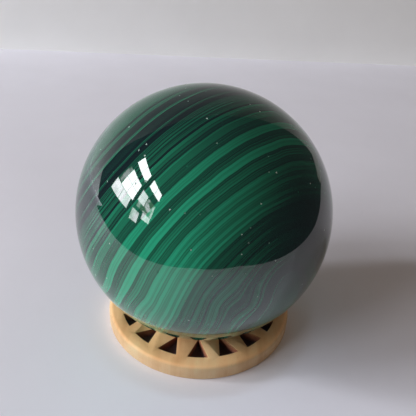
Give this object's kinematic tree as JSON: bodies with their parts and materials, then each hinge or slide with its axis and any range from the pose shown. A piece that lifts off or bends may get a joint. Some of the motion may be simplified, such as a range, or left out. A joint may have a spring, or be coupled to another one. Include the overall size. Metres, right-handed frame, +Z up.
{
  "type": "decorative sphere on a ring stand",
  "caption": "Polished malachite ball resting on a low turned wooden ring whose top is carved with a band of triangular pockets.",
  "frame": {"origin": "centre of the ring's flat underside, on the surface that it lies on, under the ball's centre", "axes": "+Z up along the common axis of the ball and the ring; the picture looks along +Y from -Y"},
  "size_m": [0.065, 0.065, 0.0663],
  "materials": {
    "malachite": "banded malachite, ground and polished to a mirror gloss",
    "ring_wood": "pale fine-grained wood, turned, sanded and waxed, with scorched pocket walls"
  },
  "bodies": {
    "root": {"malachite_sphere": "malachite", "ring_stand": "ring_wood"}
  },
  "joints": []
}
